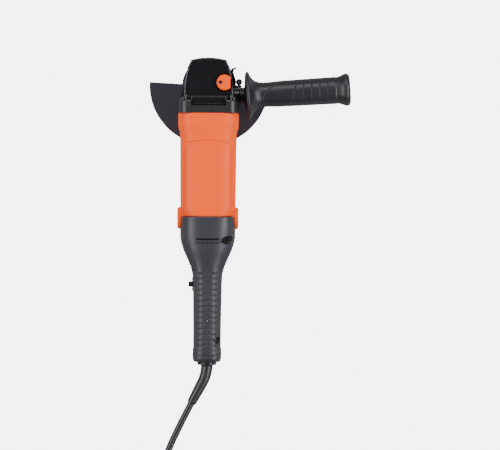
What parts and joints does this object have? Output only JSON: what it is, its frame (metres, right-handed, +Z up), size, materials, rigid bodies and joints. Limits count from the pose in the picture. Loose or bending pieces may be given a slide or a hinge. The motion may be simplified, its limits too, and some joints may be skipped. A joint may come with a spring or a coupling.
{
  "type": "angle grinder",
  "caption": "Corded angle grinder with a long rear handle, side handle and half-disc guard, standing on the guard rim and the heel of the handle, lead coiled behind.",
  "frame": {"origin": "on the surface that the tool stands on, under the middle of the box of the tool without its lead", "axes": "+Z up; +Y the way the gear head points, along the tool's length; +X to the user's right, the way the side handle points"},
  "size_m": [0.2311, 0.6263, 0.1051],
  "materials": {
    "case_paint": "black satin paint on cast aluminium",
    "plate_paint": "dark grey satin",
    "guard_paint": "dark blue-grey baked paint",
    "orange_shell": "orange glass-filled nylon, satin",
    "button_orange": "orange satin",
    "grip_plastic": "dark grey, fine grain",
    "handle_plastic": "black, fine grain",
    "rubber_black": "soft black",
    "tie_black": "black",
    "steel": "ground steel",
    "flange_steel": "blackened turned steel",
    "screw_zinc": "zinc plated",
    "clamp_zinc": "yellow zinc plated",
    "lever_paint": "black plated",
    "bronze": "sintered bronze",
    "copper": "enamelled copper wire and copper bars",
    "lamination": "electrical steel",
    "brass": "plain",
    "pin_nickel": "nickel plated",
    "carbon": "carbon block",
    "felt": "grey felt",
    "inner_plastic": "black nylon",
    "capacitor_yellow": "epoxy block"
  },
  "bodies": {
    "root": {"air_baffle": "inner_plastic", "bearing_flange": "case_paint", "bearing_sleeve": "rubber_black", "brush_caps": "orange_shell", "brush_holders": "brass", "brush_springs": "steel", "brushes": "carbon", "capacitor": "capacitor_yellow", "case_screws": "screw_zinc", "clamp_screws": "screw_zinc", "cord_boot": "rubber_black", "cord_clamp": "handle_plastic", "cord_coil": "rubber_black", "cord_lead": "rubber_black", "cord_tail": "rubber_black", "cord_tie": "tie_black", "felt_seal": "felt", "field_coils": "copper", "field_core": "lamination", "flange_screws": "screw_zinc", "front_bearing": "steel", "gear_case": "case_paint", "gear_plate": "plate_paint", "handle_left": "grip_plastic", "handle_right": "grip_plastic", "handle_screws": "screw_zinc", "lock_on_bezel": "handle_plastic", "lower_bearing": "steel", "motor_housing": "orange_shell", "plug_body": "rubber_black", "plug_pins": "pin_nickel", "rear_bearing": "steel", "side_handle": "handle_plastic", "side_handle_stud": "steel", "switch_body": "handle_plastic", "trigger_pin": "steel", "upper_bush": "bronze"},
    "spindle": {"spindle": "steel", "crown_gear": "steel", "inner_flange": "flange_steel", "outer_nut": "flange_steel"},
    "armature": {"armature_shaft": "steel", "armature_core": "lamination", "armature_windings": "copper", "commutator": "copper", "fan": "inner_plastic", "pinion_gear": "steel", "pinion_nut": "screw_zinc"},
    "guard": {"guard_shell": "guard_paint", "guard_band": "guard_paint", "clamp_screw": "clamp_zinc", "clamp_nut": "clamp_zinc", "lever_pin": "steel"},
    "clamp_lever": {"clamp_lever": "lever_paint"},
    "spindle_lock": {"spindle_lock_button": "button_orange", "lock_pin": "steel", "lock_spring": "steel"},
    "trigger": {"trigger": "handle_plastic", "trigger_spring": "steel"},
    "lock_on": {"lock_on_button": "handle_plastic"}
  },
  "joints": [
    {"name": "spindle_spin", "type": "hinge", "parent": "root", "child": "spindle", "pos_m": [-0.04686, 0.1647, 0.07304], "axis": [0, -0.1581, 0.9874], "continuous": true},
    {"name": "armature_spin", "type": "hinge", "parent": "root", "child": "armature", "pos_m": [-0.04686, 0.1647, 0.07304], "axis": [0, -0.9874, -0.1581], "continuous": true},
    {"name": "guard_turn", "type": "hinge", "parent": "root", "child": "guard", "pos_m": [-0.04686, 0.17118, 0.03256], "axis": [0, -0.1581, 0.9874], "range_deg": [-90, 90]},
    {"name": "clamp_lever_open", "type": "hinge", "parent": "guard", "child": "clamp_lever", "pos_m": [-0.01236, 0.1746, 0.0365], "axis": [0, 0.1581, -0.9874], "range_deg": [0, 100]},
    {"name": "spindle_lock_press", "type": "slide", "parent": "root", "child": "spindle_lock", "axis": [0, 0.1581, -0.9874], "range_m": [0, 0.005], "stiffness_N_per_m": 500, "springref_m": -0.003},
    {"name": "trigger_pull", "type": "hinge", "parent": "root", "child": "trigger", "pos_m": [-0.04686, -0.05674, 0.0234], "axis": [-1, 0, 0], "range_deg": [0, 5.5], "stiffness_Nm_per_rad": 3, "springref_deg": -4.58},
    {"name": "lock_on_press", "type": "slide", "parent": "root", "child": "lock_on", "axis": [1, 0, 0], "range_m": [0, 0.004], "stiffness_N_per_m": 300, "springref_m": -0.003}
  ],
  "couplings": [
    {"joint": "armature_spin", "follows": "spindle_spin", "ratio": 3.1667}
  ]
}
